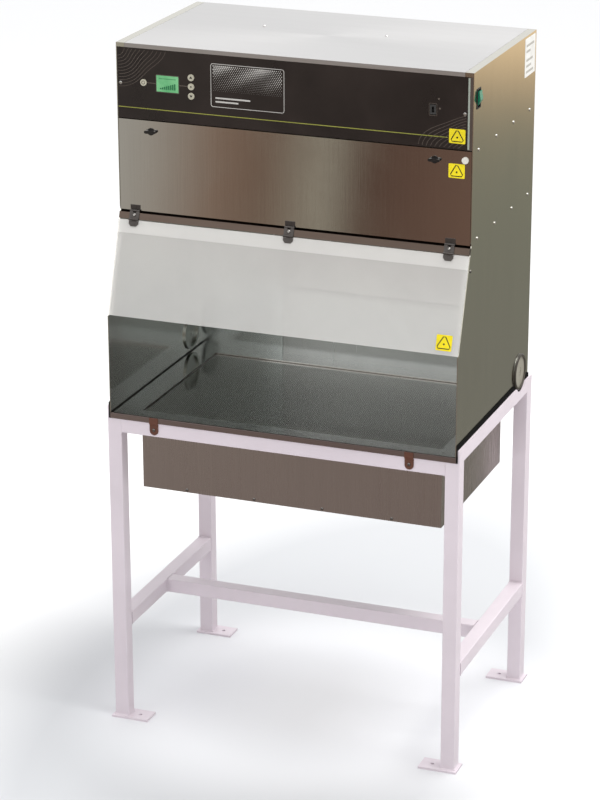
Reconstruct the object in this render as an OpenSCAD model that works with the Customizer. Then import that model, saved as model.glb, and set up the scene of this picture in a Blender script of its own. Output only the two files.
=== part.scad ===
// Bench-height fume extraction cabinet on a welded tube stand.
// Millimetres, +Z up, front towards -Y. Origin: floor level, centre of the floor bolts.

/* [Cabinet] */
// width over the two side panels
cab_w = 1000; // [960:10:1100]
// depth from the front lip to the rear cover
cab_d = 650; // [640:5:680]
// height of the top of the lid above the floor
top_z = 1940; // [1930:2:1960]
// set-back of the upper front face behind the front lip
setback = 97; // [90:1:105]
// height where the upper front starts to slope forward
bend_z = 1495; // [1490:1:1500]
// height of the lower edge of the visor
knee_z = 1208; // [1190:2:1230]
// thickness of the sheet metal panels
sheet = 2; // [1.5:0.5:2.5]
// radius of the cable hole in the port membranes
port_r = 14; // [8:1:24]

/* [Stand] */
// width of the square stand tube
tube = 40; // [36:1:44]
// wall of the stand tube
tube_t = 2; // [1.5:0.5:3]
// height of the stand surface that carries the cabinet
seat_z = 910; // [900:1:912]
// depth over the front and rear legs
stand_d = 660; // [650:2:670]
// top of the lower side rails
low_z = 315; // [250:5:400]
// thickness of the foot plates
foot_t = 6; // [4:1:10]
// radius of the floor bolt holes
foot_hole_r = 5.5; // [4:0.5:7]

/* [Front] */
// thickness of the visor sheet
visor_t = 5; // [4:0.5:6]
// height of the control fascia
fascia_h = 192; // [188:1:196]
// radius of the push button caps
btn_r = 9; // [7:0.5:10]
// number of blades on the blower wheel
blades = 18; // [8:1:24]

/* [Hidden] */
$fn = 48;
hw = cab_w / 2;                       // half the cabinet width
y_lip = -stand_d / 2 - 3;             // front plane of the cabinet
y_back = y_lip + cab_d;               // rear plane of the cabinet
y_face = y_lip + setback;             // plane of the fascia and the access door
strip_t = 4;                          // black sealing strip beside the panels
flange_t = 5;                         // upright flange of the side angles
sf = hw - sheet - 1;                  // middle of the turned-down edges
sx = hw + strip_t + flange_t;         // outer face of the stand in X
sy = stand_d / 2;                     // outer face of the stand in Y
leg_x = sx - tube / 2;
leg_y = sy - tube / 2;
leg_top = seat_z - flange_t;
flange_h = 35;                        // side flange above the seat
work_z = seat_z + 16;                 // worktop surface
run = setback / (bend_z - knee_z);    // slope of the visor, Y per Z
slope_a = atan(run);
slope_l = (bend_z - knee_z) / cos(slope_a);
// recess in the worktop, the plenum hangs under it
rx0 = 76 - hw;
rx1 = hw - 56;
ry0 = y_lip + 50;
ry1 = y_back - 75;
plenum_z = seat_z - 210;
back_y = y_back - 16;                 // front of the chamber back wall
split_x = -238;                       // upright joint in the back wall
port_y = y_back - 87;
port_z = seat_z + 74;
shelf_z = bend_z - 5;                 // top of the chamber ceiling
deck_z = top_z - 211;                 // floor of the control compartment
fascia_z = top_z - 12 - fascia_h;
door_z0 = bend_z - 13.5;
door_z1 = fascia_z - 3;
latch_x = [97 - hw, hw - 103];
latch_z = door_z1 - 29;
hinge_x = [47 - hw, -5, hw - 57];
hinge_w = 28;
kn_r = 3.2;                           // hinge knuckle
pin_r = 1.5;
dax_y = y_face - 3.6;                 // door hinge axis
dax_z = door_z0 - 0.8;
vax_n = -3.6;                         // visor hinge axis in the slope frame
vax_s = -38.7;
btn_x = [78.5 - hw, 216 - hw, 216 - hw, 216 - hw];
btn_z = [fascia_z + 101, fascia_z + 125.5, fascia_z + 101, fascia_z + 75.5];
rock_y = y_lip + 138;
rock_z = top_z - 74;
fan_x = 150;
fan_y = 30;
fan_r = 112;
shaft_r = 6;

// ---- helpers ----
// YZ profile pushed along +X from x0
module yz(x0, w) translate([x0, 0, 0]) rotate([90, 0, 90]) linear_extrude(w) children();

// cylinder along +Y between y0 and y1
module ycyl(x, z, r, y0, y1) translate([x, y0, z]) rotate([-90, 0, 0]) cylinder(h = y1 - y0, r = r);

// cylinder along +X between x0 and x1
module xcyl(x0, x1, y, z, r) translate([x0, y, z]) rotate([0, 90, 0]) cylinder(h = x1 - x0, r = r);

// cylinder along +Z between z0 and z1
module zcyl(x, y, r, z0, z1) translate([x, y, z0]) cylinder(h = z1 - z0, r = r);

// box from one corner to the other
module box(a, b) translate(a) cube(b - a);

// frame of the sloping front: -Z runs down the slope, -Y points outwards
module on_slope() translate([0, y_face, bend_z]) rotate([-slope_a, 0, 0]) children();

// cross-section of the square stand tube with eased outer corners
module tube_section(a, c) {
  h = a / 2;
  difference() {
    polygon([[c - h, -h], [h - c, -h], [h, c - h], [h, h - c],
      [h - c, h], [c - h, h], [-h, h - c], [-h, c - h]]);
    square(a - 2 * tube_t, center = true);
  }
}

// stand tube along X, Y or Z, centred on the origin
module tube_x(l) rotate([0, 90, 0]) translate([0, 0, -l / 2]) linear_extrude(l) tube_section(tube, 1.2);
module tube_y(l) rotate([90, 0, 0]) translate([0, 0, -l / 2]) linear_extrude(l) tube_section(tube, 1.2);
module tube_z(l) linear_extrude(l) tube_section(tube, 1.2);

// ---- stand ----
module leg(sgx, sgy) color("white")
  translate([sgx * leg_x, sgy * leg_y, foot_t]) tube_z(leg_top - foot_t);

module leg_fl() leg(-1, -1);
module leg_fr() leg(1, -1);
module leg_rl() leg(-1, 1);
module leg_rr() leg(1, 1);

module foot_plates() color("white")
  for (ix = [-1, 1])
    for (iy = [-1, 1])
      difference() {
        translate([ix * (sx + 8 - 55), iy * leg_y, foot_t / 2]) cube([110, tube + 20, foot_t], center = true);
        zcyl(ix * (leg_x - 49), iy * leg_y, foot_hole_r, -1, foot_t + 1);
      }

// angle whose flat leg carries the cabinet and whose upright flange locates it
module side_angle_l() color("white") mirror([1, 0, 0]) side_angle();
module side_angle_r() color("white") side_angle();
module side_angle() difference() {
  union() {
    box([sx - tube, -sy, leg_top], [sx, sy, seat_z]);
    box([sx - flange_t, -sy, leg_top], [sx, sy, seat_z + flange_h]);
  }
  xcyl(sx - flange_t - 1, sx + 1, port_y, port_z, 57);
}

module front_tube() color("white") translate([0, -leg_y, seat_z - tube / 2]) tube_x(2 * (sx - tube));
module rear_tube() color("white") translate([0, leg_y, seat_z - tube / 2]) tube_x(2 * (sx - tube));
module low_rail_l() color("white") translate([-leg_x, 0, low_z - tube / 2]) tube_y(2 * (sy - tube));
module low_rail_r() color("white") translate([leg_x, 0, low_z - tube / 2]) tube_y(2 * (sy - tube));
module cross_rail() color("white") translate([0, -22, low_z - tube / 2]) tube_x(2 * (sx - tube));

// joggled straps that tie the tray lip down to the front tube
module hold_clips() color("saddlebrown")
  for (x = [130 - hw, hw - 131]) difference() {
    union() {
      yz(x - 12.5, 25) polygon([[y_lip - 2.5, seat_z + 15], [y_lip, seat_z + 15], [y_lip, seat_z - 1],
        [-sy, seat_z - 4], [-sy, seat_z - 22], [-sy - 2.5, seat_z - 22],
        [-sy - 2.5, seat_z - 5], [y_lip - 2.5, seat_z - 2]]);
      ycyl(x, seat_z - 22, 12.5, -sy - 2.5, -sy);
    }
    ycyl(x, seat_z - 20, 2.5, -sy - 9, -sy + 5);
  }

// ---- base of the cabinet ----
module tray() color("silver") difference() {
  union() {
    box([sheet - hw, y_lip + 1.5, work_z - 3], [hw - sheet, back_y + 14, work_z]);
    // front lip with an eased top edge, over the panel ends
    yz(-hw, cab_w) polygon([[y_lip, seat_z], [y_lip, work_z - 2.5], [y_lip + 0.7, work_z - 0.7],
      [y_lip + 2, work_z], [y_lip + 2, seat_z]]);
    // return under the lip, turned-down sides and rear
    box([sheet - hw, y_lip + 1, seat_z], [hw - sheet, y_lip + 30, seat_z + 2]);
    for (s = [-1, 1])
      box([s * sf - 1, y_lip + 28, seat_z], [s * sf + 1, back_y + 14, work_z - 2]);
    box([sheet - hw, back_y + 12, seat_z], [hw - sheet, back_y + 14, work_z - 2]);
  }
  box([rx0, ry0, work_z - 9], [rx1, ry1, work_z + 1]);
  for (x = [45 - hw, hw - 45]) zcyl(x, y_lip + 25, 3, work_z - 9, work_z + 1);
}

// lift-out perforated plate flush in the recess
module perf_plate() color("gray") difference() {
  box([rx0 + 1, ry0 + 1, work_z - 8], [rx1 - 1, ry1 - 1, work_z - 5]);
  for (i = [0:17])
    for (j = [0:9])
      zcyl(rx0 + 60 + i * 44, ry0 + 64 + j * 44, 6, work_z - 9, work_z - 4);
  for (x = [rx0 + 28, rx1 - 28])
    for (y = [ry0 + 27, ry1 - 27])
      zcyl(x, y, 4, work_z - 9, work_z - 4);
}

module plenum_box() color("gray") difference() {
  union() {
    box([rx0 - 18, ry0 - 12, work_z - 5], [rx1 + 18, ry1 + 18, work_z - 3]);
    box([rx0 - 2, ry0 - 2, plenum_z], [rx1 + 2, ry1 + 2, work_z - 3]);
    // hose spigot on the rear wall
    ycyl(10, plenum_z + 90, 52, ry1 + 1, ry1 + 38);
  }
  box([rx0, ry0, plenum_z - 1], [rx1, ry1, work_z - 10]);
  box([rx0 + 14, ry0 + 14, work_z - 12], [rx1 - 14, ry1 - 14, work_z]);
  box([rx0, ry0, work_z - 8], [rx1, ry1, work_z]);
  ycyl(10, plenum_z + 90, 50, ry1 - 5, ry1 + 39);
  for (x = [-295, -95, 104, 305]) ycyl(x, plenum_z + 7, 2, ry0 - 3, ry0 + 1);
}

// removable pan that closes the plenum from below
module plenum_pan() color("gray") difference() {
  box([rx0, ry0, plenum_z], [rx1, ry1, plenum_z + 16]);
  box([rx0 + 2.5, ry0 + 2.5, plenum_z + 2], [rx1 - 2.5, ry1 - 2.5, plenum_z + 17]);
  for (x = [-295, -95, 104, 305]) ycyl(x, plenum_z + 7, 2, ry0 - 3, ry0 + 4);
}

// black strips between the side panels and the stand flanges
module edge_strips() color("black")
  for (s = [0, 1]) mirror([s, 0, 0]) difference() {
    box([hw, y_lip, seat_z], [hw + strip_t, y_back - 4, seat_z + 46]);
    xcyl(hw - 1, hw + strip_t + 1, port_y, port_z, 57);
  }

// ---- panels ----
sn = 8 / cos(slope_a);                // panel edge behind the visor face
module side_panel() difference() {
  union() {
    yz(hw - sheet, sheet) polygon([[y_lip + 2, seat_z + 1], [y_back - 2, seat_z + 1],
      [y_back - 2, top_z], [y_face, top_z], [y_face, bend_z - 5],
      [y_face + sn - run * (bend_z - 1480), 1480], [y_lip + sn, knee_z], [y_lip + sn, knee_z - 3],
      [y_lip, knee_z - 3], [y_lip, work_z + 1], [y_lip + 2, work_z + 1]]);
    // top flange beside the lid, with a ledge under the lid and a front lip
    box([hw - 24, y_face, top_z - 2], [hw, y_back - 2, top_z]);
    box([hw - 40, y_face + 4, top_z - 4], [hw - 20, y_back - 4, top_z - 2]);
    box([hw - 24, y_face, fascia_z + fascia_h + 0.5], [hw, y_face + 2, top_z - 1]);
    // front flange behind the fascia
    box([hw - 18, y_face + 3, fascia_z], [hw, y_face + 5, top_z - 14]);
    // inward flange under the visor edge
    on_slope() box([hw - 14, 8, -slope_l + 2], [hw, 9.6, -46]);
  }
  xcyl(hw - 20, hw + 1, port_y, port_z, 45.5);
  for (y = [147, 300, 454, 603])
    for (z = [deck_z - 1.5, shelf_z - 1.5])
      xcyl(hw - 4, hw + 1, y_lip + y, z, 2);
  xcyl(hw - 4, hw + 1, y_face - 2, bend_z - 82, 2);
}
module side_left() color("silver") mirror([1, 0, 0]) side_panel();
module side_right() color("silver") difference() {
  side_panel();
  box([hw - 4, rock_y - 14, rock_z - 25], [hw + 1, rock_y + 14, rock_z + 25]);
}

module back_wall_left() color("gray")
  box([sheet - hw, back_y, work_z], [split_x - 1, back_y + 2, shelf_z - 3]);

// wider sheet with a crease across it
module back_wall_right() color("gray") yz(split_x, hw - sheet - split_x)
  polygon([[back_y, work_z], [back_y, 1121], [back_y - 3, 1124], [back_y - 3, 1130],
    [back_y, 1133], [back_y, shelf_z - 3], [back_y + 2, shelf_z - 3], [back_y + 2, 1132],
    [back_y - 1, 1129], [back_y - 1, 1125], [back_y + 2, 1122], [back_y + 2, work_z]]);

module rear_cover() color("silver") difference() {
  box([-hw, y_back - 2, seat_z + 2], [hw, y_back, top_z]);
  box([-70, y_back - 3, deck_z + 35], [110, y_back + 1, deck_z + 125]);
  box([hw - 104, y_back - 3, deck_z + 36], [hw - 76, y_back + 1, deck_z + 56]);
}

module lid() color("whitesmoke") difference() {
  union() {
    box([-hw + 24.5, y_face, top_z - 2], [hw - 24.5, y_back - 2, top_z]);
    box([-hw + 24.5, y_face, fascia_z + fascia_h + 0.5], [hw - 24.5, y_face + 2, top_z - 1]);
  }
  zcyl(-205, y_lip + 422, 2, top_z - 3, top_z + 1);
  zcyl(148, y_lip + 425, 2, top_z - 3, top_z + 1);
}

// pan-head screw, head towards +Z
module screw(l) {
  cylinder(h = 1.2, r = 4.5);
  translate([0, 0, 1.2]) cylinder(h = 1.2, r1 = 4.5, r2 = 3);
  translate([0, 0, -l]) cylinder(h = l + 0.5, r = 2);
}

module panel_screws() color("gainsboro") {
  for (s = [0, 1]) mirror([s, 0, 0]) {
    for (y = [147, 300, 454, 603])
      for (z = [deck_z - 1.5, shelf_z - 1.5])
        translate([hw, y_lip + y, z]) rotate([0, 90, 0]) screw(2);
  }
  translate([-205, y_lip + 422, top_z]) screw(2);
  translate([148, y_lip + 425, top_z]) screw(2);
  for (x = [-295, -95, 104, 305])
    translate([x, ry0 - 2, plenum_z + 7]) rotate([90, 0, 0]) screw(5);
  for (x = [130 - hw, hw - 131])
    translate([x, -sy - 2.5, seat_z - 20]) rotate([90, 0, 0]) screw(2.5);
  for (x = [12 - hw, hw - 23])
    translate([x, y_face, fascia_z + 95]) rotate([90, 0, 0]) screw(3);
  for (x = hinge_x)
    translate([x, 0, 0]) on_slope() translate([0, -1.6, -26.5]) rotate([90, 0, 0]) screw(4);
  translate([hw, y_face - 2, bend_z - 82]) rotate([0, 90, 0]) screw(2);
  translate([-hw, y_face - 2, bend_z - 82]) rotate([0, -90, 0]) screw(2);
}

// chamber ceiling with an inlet grille under the filters
module shelf() color("gray") difference() {
  union() {
    box([sheet - hw, y_face + 24, shelf_z - 3], [hw - sheet, y_back - 2, shelf_z]);
    for (s = [-1, 1])
      box([s * sf - 1, y_face + 30, shelf_z - 1], [s * sf + 1, back_y, shelf_z + 12]);
  }
  for (i = [0:7]) box([-210, -155 + i * 44, shelf_z - 4], [210, -125 + i * 44, shelf_z + 1]);
}

// floor of the control compartment, pierced for the blower inlet
module deck() color("gray") difference() {
  union() {
    box([sheet - hw, y_face + 17, deck_z - 3], [hw - sheet, y_back - 2, deck_z]);
    box([sheet - hw, y_face + 17, deck_z - 3], [hw - sheet, y_face + 19, deck_z + 12]);
  }
  zcyl(fan_x, fan_y, 80, deck_z - 4, deck_z + 1);
}

// cross member that carries the fixed hinge leaves
module hinge_rail() color("silver") difference() {
  yz(sheet - hw, cab_w - 2 * sheet)
    polygon([[y_face - 35.5 * run, bend_z - 35.5], [y_face - 19 * run, bend_z - 19],
      [y_face + 25, bend_z - 19], [y_face + 25, shelf_z - 3], [y_face + 28, shelf_z - 3],
      [y_face + 28, bend_z - 22], [y_face + 3.5 - 22 * run, bend_z - 22],
      [y_face + 3.5 - 35.5 * run, bend_z - 35.5]]);
  for (x = hinge_x) translate([x, 0, 0]) on_slope() ycyl(0, -26.5, 2, -1, 6);
}

// ---- controls ----
module fascia() color("black") difference() {
  box([-hw + 2, y_face, fascia_z], [hw - 16, y_face + 3, fascia_z + fascia_h]);
  for (i = [0:3]) ycyl(btn_x[i], btn_z[i], btn_r + 0.3, y_face - 1, y_face + 4);
  box([116 - hw, y_face - 1, fascia_z + 80], [179 - hw, y_face + 4, fascia_z + 124]);
  box([hw - 118, y_face - 1, fascia_z + 87], [hw - 101, y_face + 4, fascia_z + 113]);
  for (x = [12 - hw, hw - 23]) ycyl(x, fascia_z + 95, 2, y_face - 1, y_face + 4);
}

module fascia_trim() color("silver")
  box([hw - 15, y_face, fascia_z], [hw - sheet, y_face + 3, fascia_z + fascia_h]);

// liquid crystal module in its window
module display() color("green") {
  box([116 - hw, y_face - 0.4, fascia_z + 80], [179 - hw, y_face + 8, fascia_z + 124]);
  box([120 - hw, y_face + 7, fascia_z + 84], [175 - hw, y_face + 12, fascia_z + 120]);
}

module data_port() color("dimgray") translate([hw - 500, 0, 0]) difference() {
  union() {
    box([382.5, y_face - 1, fascia_z + 87.5], [398.5, y_face + 14, fascia_z + 112.5]);
    box([379, y_face + 3, fascia_z + 84], [402, y_face + 5, fascia_z + 116]);
  }
  box([387, y_face - 2, fascia_z + 92], [394, y_face + 10, fascia_z + 108]);
}

// controller board on pillars behind the fascia, with a stop behind each button
module controller() color("darkgreen") {
  box([55 - hw, y_face + 12, fascia_z + 55], [235 - hw, y_face + 14, fascia_z + 145]);
  for (i = [0:3]) ycyl(btn_x[i], btn_z[i], 2.5, y_face + 10.5, y_face + 12.5);
  for (x = [62 - hw, 200 - hw])
    for (z = [fascia_z + 62, fascia_z + 138])
      ycyl(x, z, 4, y_face + 3, y_face + 12.5);
}

module button(i) color("lightgray") {
  ycyl(btn_x[i], btn_z[i], btn_r, y_face - 2.5, y_face + 3.6);
  ycyl(btn_x[i], btn_z[i], btn_r + 2, y_face + 3.4, y_face + 5);
  ycyl(btn_x[i], btn_z[i], 3, y_face + 4.8, y_face + 8.5);
}
module button_1() button(0);
module button_2() button(1);
module button_3() button(2);
module button_4() button(3);

// power switch body in the right side panel, open for the rocker
module switch_bezel() color("black") difference() {
  union() {
    box([hw, rock_y - 15.5, rock_z - 26.5], [hw + 1.5, rock_y + 15.5, rock_z + 26.5]);
    box([hw - 24, rock_y - 13.8, rock_z - 24.8], [hw + 1, rock_y + 13.8, rock_z + 24.8]);
  }
  box([hw - 16, rock_y - 11.5, rock_z - 23.4], [hw + 5, rock_y + 11.5, rock_z + 23.4]);
  ycyl(hw - 1, rock_z, 2.05, rock_y - 13, rock_y + 13);
}

// ridged rocker on two trunnions, off end pressed
module rocker() color("green") translate([hw - 1, 0, rock_z]) {
  rotate([0, 10, 0]) translate([0, rock_y, 0]) rotate([90, 0, 0])
    translate([0, 0, -11]) linear_extrude(22)
      polygon([[-5, -17], [3, -21], [10.5, -2], [3, 21], [-5, 17]]);
  ycyl(0, 0, 2, rock_y - 12.8, rock_y + 12.8);
}

// cable port: outer ring, sleeve through the panel, inner ring and a pierced membrane
module port_ring() difference() {
  union() {
    xcyl(hw, hw + 4, port_y, port_z, 52);
    translate([hw + 4, port_y, port_z]) rotate([0, 90, 0]) cylinder(h = 2, r1 = 52, r2 = 49.5);
    xcyl(hw - sheet - 5, hw + 1, port_y, port_z, 45.5);
    xcyl(hw - sheet - 5, hw - sheet, port_y, port_z, 51);
  }
  xcyl(hw + 2, hw + 7, port_y, port_z, 45);
  xcyl(hw - 9, hw - 1, port_y, port_z, 42);
  xcyl(hw - 2, hw + 3, port_y, port_z, port_r);
}
module port_ring_l() color("black") mirror([1, 0, 0]) port_ring();
module port_ring_r() color("black") port_ring();

// ---- air path ----
module prefilter() color("white") box([-240, -185, shelf_z], [240, 235, shelf_z + 20]);

// framed filter cartridge between the prefilter and the deck
module main_filter() color("khaki") difference() {
  box([-240, -185, shelf_z + 20], [240, 235, deck_z - 3]);
  box([-225, -170, deck_z - 12], [225, 220, deck_z - 2]);
  box([-225, -170, shelf_z + 19], [225, 220, shelf_z + 29]);
}

module blower_housing() color("silver") difference() {
  union() {
    zcyl(fan_x, fan_y, 140, deck_z, deck_z + 130);
    box([fan_x - 220, fan_y, deck_z + 30], [fan_x - 40, y_back - 2, deck_z + 130]);
  }
  zcyl(fan_x, fan_y, 137, deck_z + 3, deck_z + 127);
  box([fan_x - 217, fan_y + 3, deck_z + 33], [fan_x - 43, y_back + 1, deck_z + 127]);
  zcyl(fan_x, fan_y, 80, deck_z - 1, deck_z + 4);
  zcyl(fan_x, fan_y, 14, deck_z + 126, deck_z + 131);
}

module motor() color("dimgray") {
  zcyl(fan_x, fan_y, 25, deck_z + 130, deck_z + 134);
  zcyl(fan_x, fan_y, 50, deck_z + 133.5, deck_z + 190);
  zcyl(fan_x, fan_y, shaft_r, deck_z + 20, deck_z + 140);
}

// backward-curved blower wheel
module impeller() color("gray") difference() {
  union() {
    zcyl(fan_x, fan_y, fan_r, deck_z + 100, deck_z + 104);
    zcyl(fan_x, fan_y, 18, deck_z + 70, deck_z + 104);
    difference() {
      zcyl(fan_x, fan_y, fan_r, deck_z + 20, deck_z + 24);
      zcyl(fan_x, fan_y, 84, deck_z + 19, deck_z + 25);
    }
    for (i = [0:blades - 1])
      translate([fan_x, fan_y, 0]) rotate([0, 0, i * 360 / blades]) translate([96, 0, deck_z + 22])
        rotate([0, 0, 40]) translate([-12, -1, 0]) cube([24, 2, 80]);
  }
  zcyl(fan_x, fan_y, shaft_r + 0.05, deck_z + 19, deck_z + 105);
}

module exhaust_grille() color("black") difference() {
  box([-80, y_back, deck_z + 25], [120, y_back + 4, deck_z + 135]);
  for (i = [0:8]) box([-66, y_back - 1, deck_z + 34 + i * 10.6], [106, y_back + 5, deck_z + 40 + i * 10.6]);
}

module mains_inlet() color("black") difference() {
  union() {
    box([hw - 115, y_back, deck_z + 31], [hw - 65, y_back + 3, deck_z + 61]);
    box([hw - 103.5, y_back - 22, deck_z + 36.5], [hw - 76.5, y_back + 1, deck_z + 55.5]);
  }
  box([hw - 101, y_back - 16, deck_z + 39], [hw - 79, y_back + 4, deck_z + 53]);
}

// ---- hinges: door knuckle above, visor knuckle below, one fixed leaf between ----
kn_w = hinge_w / 3;
module hinge_leaf_rail() color("dimgray")
  for (x = hinge_x) difference() {
    union() {
      translate([x, 0, 0]) on_slope() box([-hinge_w / 2, -1.6, vax_s], [hinge_w / 2, 0, -16.6]);
      xcyl(x - hinge_w / 2, x + hinge_w / 2, dax_y, dax_z, kn_r);
      translate([x, 0, 0]) on_slope() {
        xcyl(-hinge_w / 2, hinge_w / 2, vax_n, vax_s, kn_r);
        box([-hinge_w / 2, vax_n + 1.6, vax_s], [hinge_w / 2, -1, vax_s + 3]);
      }
    }
    // room for the moving knuckles
    box([x - kn_w / 2 - 0.3, dax_y - 5, dax_z - 4.2], [x + kn_w / 2 + 0.3, dax_y + 5, dax_z + 4.5]);
    translate([x, 0, 0]) on_slope()
      box([-kn_w / 2 - 0.3, vax_n - 5, vax_s - 4.5], [kn_w / 2 + 0.3, 1, vax_s + 4.2]);
    // pin bores and screw holes
    xcyl(x - hinge_w, x + hinge_w, dax_y, dax_z, pin_r);
    translate([x, 0, 0]) on_slope() xcyl(-hinge_w, hinge_w, vax_n, vax_s, pin_r);
    translate([x, 0, 0]) on_slope() ycyl(0, -26.5, 2, -3, 1);
  }

module hinge_pins() color("silver")
  for (x = hinge_x) {
    xcyl(x - hinge_w / 2 - 0.5, x + hinge_w / 2 + 0.5, dax_y, dax_z, pin_r);
    translate([x, 0, 0]) on_slope() xcyl(-hinge_w / 2 - 0.5, hinge_w / 2 + 0.5, vax_n, vax_s, pin_r);
  }

// moving leaves, each with a rivet through the sheet behind it
module door_leaf() color("dimgray")
  for (x = hinge_x) difference() {
    union() {
      ycyl(x, door_z0 + 9.5, 3.4, y_face - 2.6, y_face - 1);
      ycyl(x, door_z0 + 9.5, 2.2, y_face - 1, y_face + 3);
      ycyl(x, door_z0 + 9.5, 3.4, y_face + 2, y_face + 3.6);
      box([x - hinge_w / 2, y_face - 1.6, door_z0 + 3.2], [x + hinge_w / 2, y_face, door_z0 + 15]);
      xcyl(x - kn_w / 2, x + kn_w / 2, dax_y, dax_z, kn_r);
      box([x - kn_w / 2, dax_y, dax_z], [x + kn_w / 2, y_face - 0.4, door_z0 + 3.5]);
    }
    xcyl(x - hinge_w, x + hinge_w, dax_y, dax_z, pin_r + 0.05);
  }

module visor_leaf() color("dimgray")
  for (x = hinge_x) translate([x, 0, 0]) on_slope() difference() {
    union() {
      ycyl(0, vax_s - 11, 3.4, -2.6, -1);
      ycyl(0, vax_s - 11, 2.2, -1, visor_t + 1);
      ycyl(0, vax_s - 11, 3.4, visor_t, visor_t + 1.6);
      rotate([90, 0, 0]) linear_extrude(1.6)
        polygon([[-hinge_w / 2, vax_s - 4], [hinge_w / 2, vax_s - 4], [hinge_w / 2, vax_s - 12],
          [hinge_w / 2 - 6, vax_s - 19], [-hinge_w / 2 + 6, vax_s - 19], [-hinge_w / 2, vax_s - 12]]);
      xcyl(-kn_w / 2, kn_w / 2, vax_n, vax_s, kn_r);
      box([-kn_w / 2, vax_n, vax_s - 4.3], [kn_w / 2, -0.4, vax_s]);
    }
    xcyl(-hinge_w, hinge_w, vax_n, vax_s, pin_r + 0.05);
  }

// ---- visor and access door ----
module visor() color("lightcyan") on_slope() difference() {
  box([-hw + 1, 0, -slope_l], [hw - 1, visor_t, vax_s - 1.6]);
  for (x = hinge_x) ycyl(x, vax_s - 11, 2.2, -1, visor_t + 1);
}

// foam seals on the panel flanges under the visor edges
module visor_seals() color("white")
  for (s = [0, 1]) mirror([s, 0, 0])
    on_slope() box([hw - 13, visor_t + 0.3, -slope_l + 3], [hw - 2.5, 8, -46]);

module door() color("silver") difference() {
  union() {
    box([-hw + 3, y_face, door_z0], [hw - 3, y_face + 2, door_z1]);
    difference() {
      box([-hw + 6, y_face + 1, door_z0], [hw - 6, y_face + 14, door_z1]);
      box([-hw + 8, y_face, door_z0 + 2], [hw - 8, y_face + 15, door_z1 - 2]);
    }
  }
  for (x = latch_x) ycyl(x, latch_z, 4.05, y_face - 1, y_face + 3);
  ycyl(hw - 20, latch_z + 5, 5, y_face - 1, y_face + 3);
  for (x = hinge_x) ycyl(x, door_z0 + 9.5, 2.2, y_face - 1, y_face + 3);
}

module door_plug() color("white") {
  ycyl(hw - 20, latch_z + 5, 9, y_face - 3, y_face);
  ycyl(hw - 20, latch_z + 5, 5, y_face - 0.5, y_face + 6);
}

// quarter-turn stud: wing knob outside, shaft through the door, cross bar inside
module latch(x) color("dimgray") {
  ycyl(x, latch_z, 10, y_face - 2.3, y_face - 0.3);
  box([x - 12, y_face - 11, latch_z - 4], [x + 12, y_face - 2, latch_z + 4]);
  for (s = [-1, 1]) ycyl(x + s * 12, latch_z, 4, y_face - 11, y_face - 2);
  ycyl(x, latch_z, 4, y_face - 2, y_face + 26);
  box([x - 5.2, y_face + 22, latch_z - 1.5], [x + 5.2, y_face + 25, latch_z + 1.5]);
}
module latch_l() latch(latch_x[0]);
module latch_r() latch(latch_x[1]);

// brackets under the deck that receive the latch studs
module latch_keepers() color("gray")
  for (x = latch_x) difference() {
    union() {
      box([x - 16, y_face + 18, latch_z - 14], [x + 16, y_face + 20, deck_z - 3]);
      box([x - 16, y_face + 18, deck_z - 5], [x + 16, y_face + 34, deck_z - 3]);
    }
    ycyl(x, latch_z, 7.5, y_face + 17, y_face + 21);
  }

leg_fl();
leg_fr();
leg_rl();
leg_rr();
foot_plates();
side_angle_l();
side_angle_r();
front_tube();
rear_tube();
low_rail_l();
low_rail_r();
cross_rail();
hold_clips();
tray();
perf_plate();
plenum_box();
plenum_pan();
edge_strips();
side_left();
side_right();
back_wall_left();
back_wall_right();
rear_cover();
lid();
panel_screws();
shelf();
deck();
hinge_rail();
fascia();
fascia_trim();
display();
data_port();
controller();
switch_bezel();
rocker();
port_ring_l();
port_ring_r();
prefilter();
main_filter();
blower_housing();
motor();
impeller();
exhaust_grille();
mains_inlet();
hinge_leaf_rail();
hinge_pins();
latch_keepers();
visor_seals();
visor();
visor_leaf();
door();
door_leaf();
door_plug();
latch_l();
latch_r();
button_1();
button_2();
button_3();
button_4();
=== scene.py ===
"""Looks for the fume extraction cabinet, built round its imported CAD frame. Metres; front to -Y, Z up."""
import math

import bmesh
import bpy
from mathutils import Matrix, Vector


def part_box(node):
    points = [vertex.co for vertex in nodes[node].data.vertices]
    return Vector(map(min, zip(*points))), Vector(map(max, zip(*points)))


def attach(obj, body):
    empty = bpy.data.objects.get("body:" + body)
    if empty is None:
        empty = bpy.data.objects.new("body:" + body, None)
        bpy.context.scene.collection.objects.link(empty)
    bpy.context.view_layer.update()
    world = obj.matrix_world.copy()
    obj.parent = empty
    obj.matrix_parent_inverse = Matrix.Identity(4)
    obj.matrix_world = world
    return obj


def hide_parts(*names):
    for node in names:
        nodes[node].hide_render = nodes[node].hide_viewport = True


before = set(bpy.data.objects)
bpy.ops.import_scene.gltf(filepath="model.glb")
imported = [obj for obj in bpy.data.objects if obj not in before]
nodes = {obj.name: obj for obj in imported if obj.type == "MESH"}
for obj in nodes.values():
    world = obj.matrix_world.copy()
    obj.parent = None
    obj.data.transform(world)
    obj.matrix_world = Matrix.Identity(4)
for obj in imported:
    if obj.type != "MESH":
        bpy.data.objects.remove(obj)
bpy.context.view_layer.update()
scene = bpy.context.scene


# ---------------------------------------------------------------- node helpers
def fill_ramp(elements, stops):
    """Give a colour ramp exactly these (position, colour) stops."""
    while len(elements) > 1:
        elements.remove(elements[0])
    elements[0].position, elements[0].color = stops[0][0], (*stops[0][1], 1)
    for position, color in stops[1:]:
        elements.new(position).color = (*color, 1)


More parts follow.
